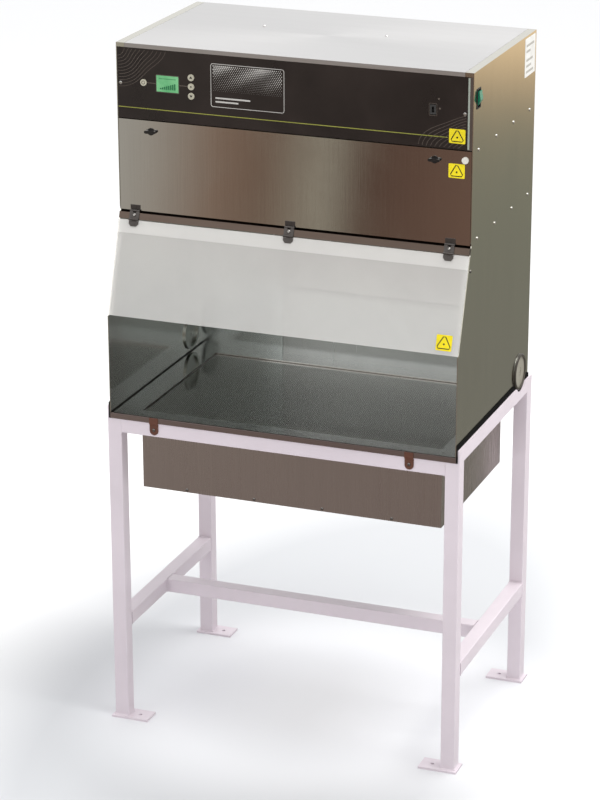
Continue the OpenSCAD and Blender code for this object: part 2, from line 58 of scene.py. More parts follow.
class Mat:
    """A node material with the shortcuts used below."""

    def __init__(self, name):
        self.material = bpy.data.materials.new(name)
        self.material.use_nodes = True
        self.tree = self.material.node_tree
        self.tree.nodes.clear()
        self.out = self.add("ShaderNodeOutputMaterial")
        self.shader = self.add("ShaderNodeBsdfPrincipled")
        self.link(self.shader.outputs[0], self.out.inputs[0])
        self.coords = self.add("ShaderNodeTexCoord").outputs["Object"]

    def add(self, kind, **settings):
        node = self.tree.nodes.new(kind)
        for key, value in settings.items():
            setattr(node, key, value)
        return node

    def link(self, a, b):
        self.tree.links.new(a, b)

    def put(self, **values):
        """Set inputs of the shader; an underscore stands for a space."""
        for key, value in values.items():
            self.shader.inputs[key.replace("_", " ")].default_value = value

    def noise(self, scale=(1, 1, 1), size=1.0, detail=3.0, rough=0.5, distort=0.0):
        """Noise in object space, its coordinates stretched by scale."""
        mapping = self.add("ShaderNodeMapping")
        mapping.inputs["Scale"].default_value = scale
        self.link(self.coords, mapping.inputs[0])
        node = self.add("ShaderNodeTexNoise")
        node.inputs["Scale"].default_value = size
        node.inputs["Detail"].default_value = detail
        node.inputs["Roughness"].default_value = rough
        node.inputs["Distortion"].default_value = distort
        self.link(mapping.outputs[0], node.inputs["Vector"])
        return node.outputs[0]

    def ramp(self, fac, stops, smooth=False):
        """A colour ramp with (position, colour) stops."""
        node = self.add("ShaderNodeValToRGB")
        if smooth:
            node.color_ramp.interpolation = "EASE"
        fill_ramp(node.color_ramp.elements, stops)
        self.link(fac, node.inputs[0])
        return node.outputs[0]

    def range(self, v, lo, hi, a=0.0, b=1.0):
        """Map v from the span a..b to the span lo..hi."""
        node = self.add("ShaderNodeMapRange")
        for key, value in zip(("From Min", "From Max", "To Min", "To Max"), (a, b, lo, hi)):
            node.inputs[key].default_value = value
        self.link(v, node.inputs[0])
        return node.outputs[0]

    def mix(self, fac, a, b, kind="MIX"):
        """Mix two colours; every input is a socket, a number or a colour."""
        node = self.add("ShaderNodeMix", data_type="RGBA", blend_type=kind)
        for socket, value in ((node.inputs[0], fac), (node.inputs[6], a), (node.inputs[7], b)):
            if hasattr(value, "node"):
                self.link(value, socket)
            elif isinstance(value, (int, float)):
                socket.default_value = value
            else:
                socket.default_value = (*value, 1)
        return node.outputs[2]

    def math(self, op, a, b=0.0):
        """One operation on two sockets or numbers."""
        node = self.add("ShaderNodeMath", operation=op)
        for i, value in enumerate((a, b)):
            if hasattr(value, "node"):
                self.link(value, node.inputs[i])
            else:
                node.inputs[i].default_value = value
        return node.outputs[0]

    def xyz(self):
        """The X, Y and Z sockets of object space."""
        node = self.add("ShaderNodeSeparateXYZ")
        self.link(self.coords, node.inputs[0])
        return node.outputs

    def color(self, v):
        self.link(v, self.shader.inputs["Base Color"])

    def rough(self, v):
        self.link(v, self.shader.inputs["Roughness"])

    def bump(self, v, height, strength=1.0):
        node = self.add("ShaderNodeBump")
        node.inputs["Strength"].default_value = strength
        node.inputs["Distance"].default_value = height
        self.link(v, node.inputs["Height"])
        self.link(node.outputs[0], self.shader.inputs["Normal"])


def lin(*rgb):
    """sRGB 0-255 to linear."""
    out = []
    for v in rgb:
        v /= 255
        out.append(v / 12.92 if v <= 0.04045 else ((v + 0.055) / 1.055) ** 2.4)
    return tuple(out)


def times(color, k):
    """A colour k times as bright, with no channel above 1."""
    return tuple(min(1.0, v * k) for v in color)


def brushed(name, base, grain, rough=(0.16, 0.24), depth=0.00002, smudge=0.06, aniso=0.3,
            painted_inner_light=None, edge=None):
    """Steel with fine grain along one axis, slow tone drift, faint smudges and a few scratches.

    inside is a painted light: a lighter tone given to faces turned to the middle of the cabinet.
    edge is (y, z, front, top): the tones in front of y, below and above the height z.
    """
    m = Mat(name)
    stretch = {"x": (4, 900, 900), "y": (900, 4, 900), "z": (900, 900, 4)}[grain]
    fine = m.noise(stretch, 1.0, 4, 0.7)
    wide = m.noise(tuple(v * 0.035 for v in stretch), 1.0, 2, 0.5)
    cloud = m.noise((1, 1, 1), 4.0, 4, 0.6, 0.5)
    scratch = m.noise(tuple(v * 0.3 + 2 for v in stretch), 0.7, 2, 0.8, 0.15)
    tone = m.mix(m.range(fine, 0.0, 1.0, 0.3, 0.7), times(base, 0.95), times(base, 1.05))
    tone = m.mix(m.range(wide, 0.0, 0.18, 0.4, 0.65), tone, times(base, 0.92))
    tone = m.mix(m.range(cloud, 0.0, smudge * 2, 0.5, 0.8), tone, times(base, 0.75))
    x, y, z = m.xyz()
    # painted light: faces turned to the middle of the cabinet take the lighter tone
    if painted_inner_light:
        normal = m.add("ShaderNodeSeparateXYZ")
        m.link(m.add("ShaderNodeNewGeometry").outputs["Normal"], normal.inputs[0])
        facing = m.math("LESS_THAN", m.math("MULTIPLY", x, normal.outputs[0]), -0.05)
        tone = m.mix(m.math("MULTIPLY", facing, m.range(fine, 0.85, 1.0, 0.3, 0.7)), tone, painted_inner_light)
    if edge:
        edge_y, edge_z, front, top = edge
        ahead = m.math("LESS_THAN", y, edge_y)
        tone = m.mix(ahead, tone, front)
        tone = m.mix(m.math("MULTIPLY", ahead, m.math("GREATER_THAN", z, edge_z)), tone, top)
    m.color(tone)
    grained = m.math("ADD", m.range(fine, *rough, 0.25, 0.75), m.range(cloud, -0.02, 0.05))
    m.rough(m.math("ADD", grained, m.range(scratch, 0.0, 0.05, 0.68, 0.8)))
    m.bump(fine, depth, 0.4)
    m.put(Metallic=1.0, Anisotropic=aniso)
    return m.material


def coated(name, base, rough=0.32, dirt=0.08, coat=0.0, wear=None):
    """Powder coat or lacquer: orange peel, slow tone drift and light scuffs."""
    m = Mat(name)
    peel = m.noise((1, 1, 1), 260, 2, 0.4)
    drift = m.noise((1, 1, 1), 3.5, 4, 0.6, 0.3)
    scuff = m.noise((1, 1, 6), 22, 5, 0.75, 0.8)
    tone = m.mix(m.range(drift, 0, 1, 0.35, 0.7), times(base, 1.03), times(base, 1 - dirt))
    tone = m.mix(m.range(scuff, 0, 0.5, 0.68, 0.82), tone, wear or times(base, 0.82))
    m.color(tone)
    m.rough(m.math("ADD", m.range(drift, rough - 0.04, rough + 0.05), m.range(scuff, 0, 0.18, 0.6, 0.8)))
    m.bump(peel, 0.00006, 0.6)
    m.put(Coat_Weight=coat, Coat_Roughness=0.12)
    return m.material


def plastic(name, base, rough=0.4, grain=0.00005, size=900, gloss=0.0, spec=0.35):
    """Moulded plastic, rubber or print with a fine spark-eroded texture."""
    m = Mat(name)
    texture = m.noise((1, 1, 1), size, 3, 0.6)
    cloud = m.noise((1, 1, 1), 14, 4, 0.6, 0.2)
    m.color(m.mix(m.range(cloud, 0, 1, 0.35, 0.7), times(base, 0.88), times(base, 1.08)))
    m.rough(m.math("ADD", m.range(texture, rough - 0.06, rough + 0.08), m.range(cloud, -0.03, 0.05)))
    m.bump(texture, grain, 0.5)
    m.put(Coat_Weight=gloss, Coat_Roughness=0.1, Specular_IOR_Level=spec)
    return m.material


# ---------------------------------------------------------------- materials
tray_front, tray_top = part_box("tray")[0][1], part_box("tray")[1][2]
MATS = {
    "stand": coated("stand_powder_coat", lin(224, 214, 222), 0.34, dirt=0.05, coat=0.1),
    "clip": coated("clip_bronze", lin(102, 62, 46), 0.42, dirt=0.25, wear=lin(150, 105, 75)),
    # the worktop's front lip carries painted reflections: brown on its front face and near black along its
    # top front edge
    "tray": brushed("worktop_steel", (0.53, 0.53, 0.515), "x", (0.07, 0.13), 0.000006, 0.05, 0.1,
                    edge=(tray_front + 0.004, tray_top - 0.003, (0.40, 0.35, 0.335), (0.09, 0.07, 0.065))),
    "plenum": brushed("plenum_steel", (0.52, 0.475, 0.45), "z", (0.24, 0.3)),
    "inner": brushed("mill_steel", (0.55, 0.545, 0.52), "x", (0.26, 0.38)),
    # the side panels carry a painted light: their faces turned to the middle of the cabinet are lighter
    "panel": brushed("side_panel_steel", (0.62, 0.605, 0.53), "z", (0.10, 0.15), smudge=0.10,
                     painted_inner_light=(0.78, 0.79, 0.76)),
    "rear": brushed("rear_panel_steel", (0.58, 0.57, 0.53), "z", (0.22, 0.32)),
    "wall_l": brushed("back_wall_left_steel", (0.50, 0.545, 0.54), "z", (0.2, 0.26)),
    "wall_r": brushed("back_wall_right_steel", (0.42, 0.44, 0.435), "z", (0.2, 0.26)),
    "door": brushed("door_steel", (0.57, 0.55, 0.53), "z", (0.03, 0.05), smudge=0.06, aniso=0.2),
    "rail": brushed("rail_steel", (0.115, 0.087, 0.072), "x", (0.25, 0.35)),
    "trim": brushed("trim_steel", (0.26, 0.23, 0.22), "z", (0.26, 0.36)),
    "lid": brushed("lid_steel", (0.645, 0.64, 0.64), "x", (0.3, 0.42), smudge=0.03),
    "strip": plastic("strip_rubber", (0.004, 0.004, 0.004), 0.85, spec=0.08),
    "screw": brushed("screw_steel", (0.72, 0.71, 0.69), "x", (0.15, 0.3),
                     edge=(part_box("door")[0][1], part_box("hinge_rail")[1][2] + 0.02,
                           (0.25, 0.24, 0.23), (0.6, 0.6, 0.58))),
    "rivet": brushed("rivet_steel", (0.78, 0.77, 0.74), "x", (0.2, 0.32)),
    "hinge": brushed("hinge_steel", (0.135, 0.125, 0.12), "x", (0.45, 0.6)),
    "latch": plastic("latch_black", (0.012, 0.011, 0.011), 0.3, gloss=0.3),
    "black": plastic("moulded_black", (0.02, 0.02, 0.021), 0.42),
    "port": plastic("data_port_plastic", (0.05, 0.05, 0.05), 0.35),
    "green": plastic("rocker_green", lin(12, 120, 90), 0.18, 0.00001, gloss=0.6),
    "button": plastic("button_grey", lin(190, 186, 168), 0.32),
    "plug": plastic("nylon_plug", lin(232, 230, 222), 0.35),
    "foam": plastic("foam_seal", lin(176, 175, 170), 0.8, 0.0004, 700),
    "board": plastic("circuit_board", (0.01, 0.09, 0.04), 0.3, gloss=0.4),
    "galv": brushed("galvanised_sheet", (0.55, 0.56, 0.57), "y", (0.35, 0.5), smudge=0.3),
    "motor": coated("motor_paint", (0.05, 0.055, 0.06), 0.4),
    "case": coated("filter_case_paint", lin(214, 208, 190), 0.45),
    "label": plastic("blank_label", lin(226, 226, 223), 0.42, 0.00001),
    "yellow": plastic("sticker_yellow", lin(246, 226, 20), 0.4, 0.00001),
    "ink": plastic("sticker_ink", (0.015, 0.013, 0.012), 0.45, 0.00001),
    "print": plastic("fascia_print_light", lin(196, 194, 190), 0.4, 0.00001),
    "print_dim": plastic("fascia_print_dim", lin(104, 94, 86), 0.4, 0.00001),
    "faint": plastic("label_print_faint", lin(176, 174, 168), 0.45, 0.00001),
    "edge": plastic("edge_strip_grey", lin(158, 166, 156), 0.35, 0.00001),
    "seal": plastic("worktop_sealant", (0.008, 0.008, 0.008), 0.35),
    "lime": plastic("fascia_line_lime", lin(150, 152, 66), 0.4, 0.00001),
}


def make_ring():
    """Dark rim and grey membrane, told apart by the distance from the port's own axis.

    What lies within the outer faces of the side panels is bare metal.
    """
    m = Mat("port_rubber")
    lo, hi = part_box("port_ring_r")
    membrane, rim = 0.0442, 0.0452
    x, y, z = m.xyz()
    dy = m.math("SUBTRACT", y, (lo[1] + hi[1]) / 2)
    dz = m.math("SUBTRACT", z, (lo[2] + hi[2]) / 2)
    radius = m.math("SQRT", m.math("ADD", m.math("MULTIPLY", dy, dy), m.math("MULTIPLY", dz, dz)))
    grain = m.noise((1, 1, 1), 900, 3, 0.6)
    cloud = m.noise((1, 1, 1), 16, 4, 0.6, 0.2)
    patchy = m.range(cloud, 0, 1, 0.35, 0.7)
    skin = m.mix(patchy, lin(136, 132, 120), lin(158, 154, 142))
    rubber = m.mix(m.range(radius, 0, 1, membrane, rim), skin, lin(52, 47, 40))
    metal = m.mix(patchy, lin(196, 200, 194), lin(208, 212, 206))
    within = m.math("LESS_THAN", m.math("ABSOLUTE", x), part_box("side_right")[1][0] + 0.0002)
    m.color(m.mix(within, rubber, metal))
    rough = m.math("ADD", m.range(grain, 0.36, 0.48), m.range(cloud, -0.03, 0.05))
    m.rough(m.math("SUBTRACT", rough, m.math("MULTIPLY", within, 0.12)))
    m.link(within, m.shader.inputs["Metallic"])
    m.bump(grain, 0.00004, 0.5)
    m.put(Coat_Weight=0.1, Coat_Roughness=0.2)
    return m.material


def make_fascia():
    """Nearly black film with a slow drift of tone."""
    m = Mat("fascia_film")
    grain = m.noise((1, 1, 1), 1400, 2, 0.5)
    drift = m.noise((1, 1, 1), 6, 4, 0.6, 0.3)
    m.color(m.mix(m.range(drift, 0, 1, 0.3, 0.7), lin(27, 20, 18), lin(41, 32, 29)))
    m.rough(m.range(drift, 0.24, 0.34))
    m.bump(grain, 0.00002, 0.4)
    m.put(Coat_Weight=0.15, Coat_Roughness=0.2)
    return m.material


def make_lcd():
    """Green display glass with a faint glow and fine cells, whose pattern repeats every millimetre."""
    m = Mat("lcd_window")
    wave = 6283
    axes = m.xyz()
    fine_x = m.math("SINE", m.math("MULTIPLY", axes[0], wave))
    fine_z = m.math("SINE", m.math("MULTIPLY", axes[2], wave))
    cell = m.range(m.math("MULTIPLY", fine_x, fine_z), 0.0, 0.12, -1, 1)
    cloud = m.noise((1, 1, 1), 30, 3, 0.5)
    base = m.mix(m.range(cloud, 0, 1, 0.3, 0.7), lin(92, 168, 112), lin(122, 190, 136))
    tone = m.mix(cell, base, lin(60, 160, 100))
    m.color(tone)
    m.rough(m.range(cloud, 0.1, 0.2))
    m.link(tone, m.shader.inputs["Emission Color"])
    m.put(Emission_Strength=0.12, Coat_Weight=0.5, Coat_Roughness=0.05)
    return m.material


def make_visor():
    """Hazy see-through sheet with light scratches and a less clear band along its top edge."""
    m = Mat("visor_sheet")
    band_height, band_alpha = 0.034, 0.16
    haze = m.noise((1, 1, 1), 4, 4, 0.6, 0.3)
    scratch = m.noise((14, 60, 3), 3, 6, 0.8, 1.2)
    m.color(m.mix(m.range(haze, 0, 1, 0.3, 0.7), lin(244, 243, 241), lin(250, 249, 246)))
    m.rough(m.math("ADD", m.range(haze, 0.10, 0.13), m.range(scratch, 0, 0.1, 0.66, 0.8)))
    m.bump(m.noise((1, 1, 1), 5, 1, 0.3), 0.0001, 0.2)
    band = m.math("GREATER_THAN", m.xyz()[2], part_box("visor")[1][2] - band_height)
    alpha = m.math("ADD", m.math("MULTIPLY", band, band_alpha), m.range(haze, 0.29, 0.31))
    m.link(alpha, m.shader.inputs["Alpha"])
    m.put(IOR=1.49, Specular_IOR_Level=0.7)
    return m.material


def make_perf():
    """Steel sheet with a close staggered pattern of punched dots, sunk, with painted shade in them."""
    m = Mat("perforated_sheet")
    pitch = 0.0075
    axes = m.xyz()
    u, v = m.math("MULTIPLY", axes[0], 1 / pitch), m.math("MULTIPLY", axes[1], 1 / pitch)

    def dots(du, dv):
        a = m.math("SUBTRACT", m.math("FRACT", m.math("ADD", u, du)), 0.5)
        b = m.math("SUBTRACT", m.math("FRACT", m.math("ADD", v, dv)), 0.5)
        square = m.math("ADD", m.math("MULTIPLY", a, a), m.math("MULTIPLY", b, b))
        return m.range(m.math("SQRT", square), 1.0, 0.0, 0.20, 0.27)

    # the second grid lies half a pitch off both ways
    hole = m.math("MAXIMUM", dots(100.0, 100.0), dots(100.5, 100.5))
    fine = m.noise((2.5, 420, 420), 1.0, 4, 0.6)
    cloud = m.noise((1, 1, 1), 4, 4, 0.6, 0.4)
    base = m.mix(m.range(fine, 0, 1, 0.3, 0.7), (0.44, 0.44, 0.42), (0.50, 0.50, 0.47))
    base = m.mix(m.range(cloud, 0, 0.3, 0.4, 0.8), base, (0.38, 0.38, 0.36))
    # painted shade: the holes are darkened where only the void under the plate would show
    m.color(m.mix(m.math("MULTIPLY", hole, 0.45), base, (0.05, 0.05, 0.05)))
    m.rough(m.math("ADD", m.range(fine, 0.07, 0.13, 0.25, 0.75), m.math("MULTIPLY", hole, 0.3)))
    m.bump(m.range(hole, 1.0, 0.0), 0.0004, 0.4)
    m.put(Metallic=1.0)
    return m.material


def make_media():
    """Pleated filter felt, with painted shade in the folds between pleats."""
    m = Mat("filter_media")
    pleat_wave = 420
    pleat = m.range(m.math("SINE", m.math("MULTIPLY", m.xyz()[0], pleat_wave)), 0, 1, -1, 1)
    fibres = m.noise((1, 1, 1), 340, 5, 0.7)
    # painted shade: darker in the folds of the pleats, lighter on their ridges
    m.color(m.mix(pleat, lin(186, 184, 176), lin(232, 231, 225)))
    m.rough(m.range(fibres, 0.75, 0.95))
    m.bump(m.math("ADD", m.math("MULTIPLY", pleat, 4), fibres), 0.0008, 0.6)
    m.put(Sheen_Weight=0.3)
    return m.material


MATS["fascia"], MATS["lcd"], MATS["visor"] = make_fascia(), make_lcd(), make_visor()
MATS["perf"], MATS["media"], MATS["ring"] = make_perf(), make_media(), make_ring()

LOOKS = {
    "stand": "leg_fl leg_fr leg_rl leg_rr foot_plates side_angle_l side_angle_r front_tube rear_tube "
    "low_rail_l low_rail_r cross_rail",
    "clip": "hold_clips", "tray": "tray", "perf": "perf_plate", "plenum": "plenum_box plenum_pan",
    "strip": "edge_strips", "panel": "side_left side_right", "wall_l": "back_wall_left",
    "wall_r": "back_wall_right", "rear": "rear_cover", "lid": "lid", "screw": "panel_screws hinge_pins",
    "inner": "shelf deck latch_keepers", "rail": "hinge_rail", "fascia": "fascia", "trim": "fascia_trim",
    "lcd": "display", "port": "data_port", "board": "controller",
    "black": "switch_bezel exhaust_grille mains_inlet", "green": "rocker",
    "ring": "port_ring_l port_ring_r", "media": "prefilter", "case": "main_filter",
    "galv": "blower_housing impeller", "motor": "motor",
    "hinge": "hinge_leaf_rail visor_leaf door_leaf", "foam": "visor_seals", "visor": "visor",
    "door": "door", "plug": "door_plug", "latch": "latch_l latch_r",
    "button": "button_1 button_2 button_3 button_4",
}
for key, names in LOOKS.items():
    for name in names.split():
        obj = nodes[name]
        if not obj.data.materials:
            obj.data.materials.append(MATS[key])
        for material_slot in obj.material_slots:
            material_slot.link = "OBJECT"
            material_slot.material = MATS[key]


# ---------------------------------------------------------------- mesh pieces
def piece(name, bm, mat, body, smooth=False):
    """Turn the bmesh into an object that rides on a body, with a material and a slot."""
    mesh = bpy.data.meshes.new(name)
    bm.to_mesh(mesh)
    bm.free()
    mesh.materials.append(MATS[mat])
    for polygon in mesh.polygons:
        polygon.use_smooth = smooth
    o = bpy.data.objects.new(name, mesh)
    scene.collection.objects.link(o)
    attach(o, body)
    return o


class Plane:
    """A flat place to draw on: at(u, v, h) is u along e1, v along e2 and h out of it."""

    def __init__(self, origin, e1, e2):
        self.origin = Vector(origin)
        self.e1, self.e2 = Vector(e1).normalized(), Vector(e2).normalized()
        self.normal = self.e1.cross(self.e2)

    def at(self, u, v, h=0.0):
        return self.origin + self.e1 * u + self.e2 * v + self.normal * h


def prism(bm, pl, pts, h0, h1):
    """A thin closed prism on the plane from a list of (u, v)."""
    top = [bm.verts.new(pl.at(u, v, h1)) for u, v in pts]
    low = [bm.verts.new(pl.at(u, v, h0)) for u, v in pts]
    bm.faces.new(top)
    bm.faces.new(low[::-1])
    for i in range(len(pts)):
        j = (i + 1) % len(pts)
        bm.faces.new((low[i], low[j], top[j], top[i]))


def stroke(bm, pl, pts, w, h0, h1, closed=False):
    """A thin raised line of width w along the points."""
    n = len(pts)
    rails = []
    for i in range(n):
        before = Vector(pts[(i - 1) % n] if closed or i else pts[i])
        after = Vector(pts[(i + 1) % n] if closed or i < n - 1 else pts[i])
        along = (after - before).normalized()
        side = Vector((-along.y, along.x)) * w / 2
        p = Vector(pts[i])
        section = ((1, h0), (1, h1), (-1, h1), (-1, h0))
        rails.append([bm.verts.new(pl.at(*(p + k * side), h)) for k, h in section])
    for i in range(n if closed else n - 1):
        a, b = rails[i], rails[(i + 1) % n]
        for k in range(4):
            bm.faces.new((a[k], a[(k + 1) % 4], b[(k + 1) % 4], b[k]))
    if not closed:
        bm.faces.new(rails[0][::-1])
        bm.faces.new(rails[-1])


def round_rect(u0, u1, v0, v1, r, k=6):
    """The outline of a rectangle whose corners of radius r have k steps each."""
    corners = ((u1 - r, v1 - r, 0), (u0 + r, v1 - r, 90), (u0 + r, v0 + r, 180), (u1 - r, v0 + r, 270))
    pts = []
    for cx, cy, first in corners:
        for i in range(k + 1):
            a = math.radians(first + 90 * i / k)
            pts.append((cx + r * math.cos(a), cy + r * math.sin(a)))
    return pts


def disc(u, v, r, k=8):
    """The outline of a circle in k steps."""
    turns = [2 * math.pi * i / k for i in range(k)]
    return [(u + r * math.cos(a), v + r * math.sin(a)) for a in turns]


# ---------------------------------------------------------------- prints and stickers
CABINET_LEFT = -0.5             # X of the cabinet's left edge
SINK, INK = -0.0001, 0.00015    # how far a print reaches into its surface and out of it

f_lo, f_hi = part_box("fascia")
fascia_y = f_lo[1]
face = Plane((0, fascia_y, 0), (1, 0, 0), (0, 0, 1))
left, right, top, bottom = f_lo[0] + 0.002, f_hi[0] - 0.002, f_hi[2] - 0.002, f_lo[2] + 0.002


def across(mm):
    """X of a point that many millimetres from the cabinet's left edge."""
    return CABINET_LEFT + mm / 1000


def contour(bm, cx, cz, inner, outer, count, amp, lobes, phase):
    """Wavy rings round (cx, cz), cut off where they leave the fascia."""
    steps = 180
    for k in range(count):
        r = inner + (outer - inner) * k / (count - 1)
        run = []
        for i in range(steps + 1):
            a = 2 * math.pi * i / steps
            wavy = r * (1 + amp * math.sin(lobes * a + phase + k * 0.16))
            p = (cx + wavy * 1.35 * math.cos(a), cz + wavy * math.sin(a))
            ok = left < p[0] < right and bottom < p[1] < top
            if ok:
                run.append(p)
            if (not ok or i == steps) and len(run) > 2:
                stroke(bm, face, run, 0.0009, SINK, INK)
            if not ok:
                run = []


# contour lines at two corners of the fascia
bm = bmesh.new()
contour(bm, left - 0.02, top + 0.012, 0.035, 0.112, 11, 0.06, 5, 0.3)
contour(bm, right + 0.012, bottom - 0.012, 0.03, 0.10, 10, 0.07, 4, 1.1)
piece("fascia_contours", bm, "print_dim", "body")

# plain dotted panel with a rounded border, its dots smaller towards the foot, and two bars
bm = bmesh.new()
u0, u1, v0, v1 = across(272.5), across(479.4), 1.7888, 1.9044
stroke(bm, face, round_rect(u0, u1, v0, v1, 0.006), 0.0016, SINK, INK, closed=True)
rows, cols = 15, 34
margin, head, row_gap = 0.007, 0.006, 0.0047
for j in range(rows):
    for i in range(cols):
        u = u0 + margin + (u1 - u0 - 2 * margin) * (i + 0.5 * (j % 2)) / (cols - 0.5)
        v = v1 - head - row_gap * j
        swell = 0.75 + 0.25 * math.sin(i * 0.33 + j * 0.5)
        prism(bm, face, disc(u, v, 0.0021 * (1 - j / rows) * swell + 0.0003), SINK, INK)
bar_start, bar_height = u0 + 0.012, 0.0042
for length, up in ((0.10, 0.022), (0.066, 0.012)):
    bar = round_rect(bar_start, bar_start + length, v0 + up, v0 + up + bar_height, 0.002, 3)
    prism(bm, face, bar, SINK, INK)
piece("fascia_dot_panel", bm, "print", "body")

# thin rule along the foot of the fascia, and the grey strip at its right end
bm = bmesh.new()
rule_z = 1.766
stroke(bm, face, [(left, rule_z), (across(600), rule_z), (across(931), rule_z)], 0.0022, SINK, INK)
piece("fascia_rule_lime", bm, "lime", "body")
bm = bmesh.new()
strip_x = across(987.5)
stroke(bm, face, [(strip_x, bottom), (strip_x, 1.83), (strip_x, top)], 0.0050, SINK, INK)
piece("fascia_edge_strip", bm, "edge", "body")

# lines from the window to the keys beside it, a frame round it, two marks and a frame at the data port
bm = bmesh.new()
key_z = 1.837
for stations in ((88, 102, 115.5), (179.5, 190, 205.5)):
    stroke(bm, face, [(across(x), key_z) for x in stations], 0.0014, SINK, INK)
window_frame = round_rect(across(114.6), across(180.4), 1.8146, 1.8614, 0.002, 3)
stroke(bm, face, window_frame, 0.0010, SINK, INK, closed=True)
for x, z in ((906, 1.865), (909, 1.840)):
    prism(bm, face, disc(across(x), z, 0.0025, 12), SINK, INK)
port_frame = round_rect(across(880), across(901), 1.820, 1.852, 0.002, 3)
stroke(bm, face, port_frame, 0.0008, SINK, INK, closed=True)
piece("fascia_marks", bm, "print_dim", "body")

# generic marks on the keys: a ring, an up arrow, a dot and a down arrow
for i in range(1, 5):
    lo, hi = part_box(f"button_{i}")
    cap = Plane((0, lo[1], 0), (1, 0, 0), (0, 0, 1))
    cx, cz = (lo[0] + hi[0]) / 2, (lo[2] + hi[2]) / 2
    bm = bmesh.new()
    if i == 1:
        stroke(bm, cap, disc(cx, cz, 0.0045, 20), 0.0011, SINK, INK, closed=True)
    elif i == 3:
        prism(bm, cap, disc(cx, cz, 0.0022, 16), SINK, INK)
    else:
        up = 1 if i == 2 else -1
        foot, tip = cz - up * 0.0024, cz + up * 0.0038
        arrow = [(cx - 0.0042, foot), (cx + 0.0042, foot), (cx, tip)]
        prism(bm, cap, arrow if up > 0 else arrow[::-1], SINK, INK)
    piece(f"button_{i}_mark", bm, "ink", f"button_{i}")

# growing bars and a line in the window
lcd = Plane((0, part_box("display")[0][1], 0), (1, 0, 0), (0, 0, 1))
bm = bmesh.new()
bar_pitch, bar_width, bar_foot = 0.0058, 0.0040, 1.8225
for k in range(8):
    u = across(126) + k * bar_pitch
    bar = round_rect(u, u + bar_width, bar_foot, 1.8265 + 0.0019 * k, 0.0003, 1)
    prism(bm, lcd, bar, SINK, INK)
stroke(bm, lcd, [(across(x), 1.8515) for x in (123, 150, 172)], 0.0012, SINK, INK)
MATS["segment"] = plastic("lcd_segment", lin(40, 110, 70), 0.25, 0.00001)
piece("display_bars", bm, "segment", "body")


def sticker(name, pl, u0, u1, v0, v1, body):
    """A plain yellow square with an outlined triangle and a dot."""
    paper, ink_foot, ink_top = 0.0003, 0.0002, 0.00045
    bm = bmesh.new()
    prism(bm, pl, round_rect(u0, u1, v0, v1, 0.003), 0.0, paper)
    piece(name, bm, "yellow", body)
    cu, cv, size = (u0 + u1) / 2, (v0 + v1) / 2, (v1 - v0) * 0.42
    bm = bmesh.new()
    triangle = []
    for corner in (90, 210, 330):
        for turn in (-9, 9):
            a = math.radians(corner + turn)
            u, v = size * 1.1 * math.cos(a), size * 1.1 * math.sin(a)
            triangle.append((cu + u, cv - size * 0.18 + v))
    stroke(bm, pl, triangle, 0.0026, ink_foot, ink_top, closed=True)
    prism(bm, pl, disc(cu, cv - size * 0.2, 0.0026, 12), ink_foot, ink_top)
    piece(name + "_triangle", bm, "ink", body)


# the run, drop and bend height of the sloping front, as in the CAD
SLOPE_RUN, SLOPE_DROP, BEND_Z = 0.097, 0.287, 1.495
sticker_left, sticker_right = across(935), across(979)
sticker("sticker_fascia", face, sticker_left, sticker_right, 1.752, 1.790, "body")
sticker("sticker_door", face, sticker_left, sticker_right, 1.660, 1.698, "door")
lean = math.atan2(SLOPE_RUN, SLOPE_DROP)
slope = Plane((0, fascia_y, BEND_Z), (1, 0, 0), (0, math.sin(lean), math.cos(lean)))
sticker("sticker_visor", slope, 0.4367, 0.4801, -0.2918, -0.2502, "visor")

# paper label with five plain bars on the right panel
PAPER, BAR_TOP = 0.0003, 0.0005
side = Plane((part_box("side_right")[1][0], 0, 0), (0, 1, 0), (0, 0, 1))
bm = bmesh.new()
prism(bm, side, round_rect(0.213, 0.308, 1.827, 1.933, 0.003), 0.0, PAPER)
piece("side_label", bm, "label", "body")
bm = bmesh.new()
bar_start, bar_half, first_bar, bar_pitch = 0.225, 0.0032, 1.912, 0.016
for i, bar_end in enumerate((0.296, 0.262, 0.284, 0.270, 0.290)):
    v = first_bar - bar_pitch * i - (0.008 if i > 1 else 0)
    bar = round_rect(bar_start, bar_end, v - bar_half, v + bar_half, 0.0012)
    prism(bm, side, bar, PAPER, BAR_TOP)
piece("side_label_bars", bm, "faint", "body")

# ---------------------------------------------------------------- plate, sealant, flaps, rivets, welds
# fine perforated plate in the recess of the worktop, as large as the CAD plate; its holes are in its material
lo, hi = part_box("perf_plate")
bevel, bevel_depth = 0.0008, 0.0006
bm = bmesh.new()
deck = Plane((0, 0, hi[2]), (1, 0, 0), (0, 1, 0))
outer = round_rect(lo[0], hi[0], lo[1], hi[1], 0.004, 4)
inner = round_rect(lo[0] + bevel, hi[0] - bevel, lo[1] + bevel, hi[1] - bevel, 0.0036, 4)
rings = [[bm.verts.new(deck.at(u, v, h)) for u, v in pts]
         for pts, h in ((outer, lo[2] - hi[2]), (outer, -bevel_depth), (inner, 0.0))]
for a, b in zip(rings, rings[1:]):
    for i in range(len(a)):
        j = (i + 1) % len(a)
        bm.faces.new((a[i], a[j], b[j], b[i]))
bm.faces.new(rings[0][::-1])
bm.faces.new(rings[2])
plate = piece("perforated_plate", bm, "perf", "body")
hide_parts("perf_plate")

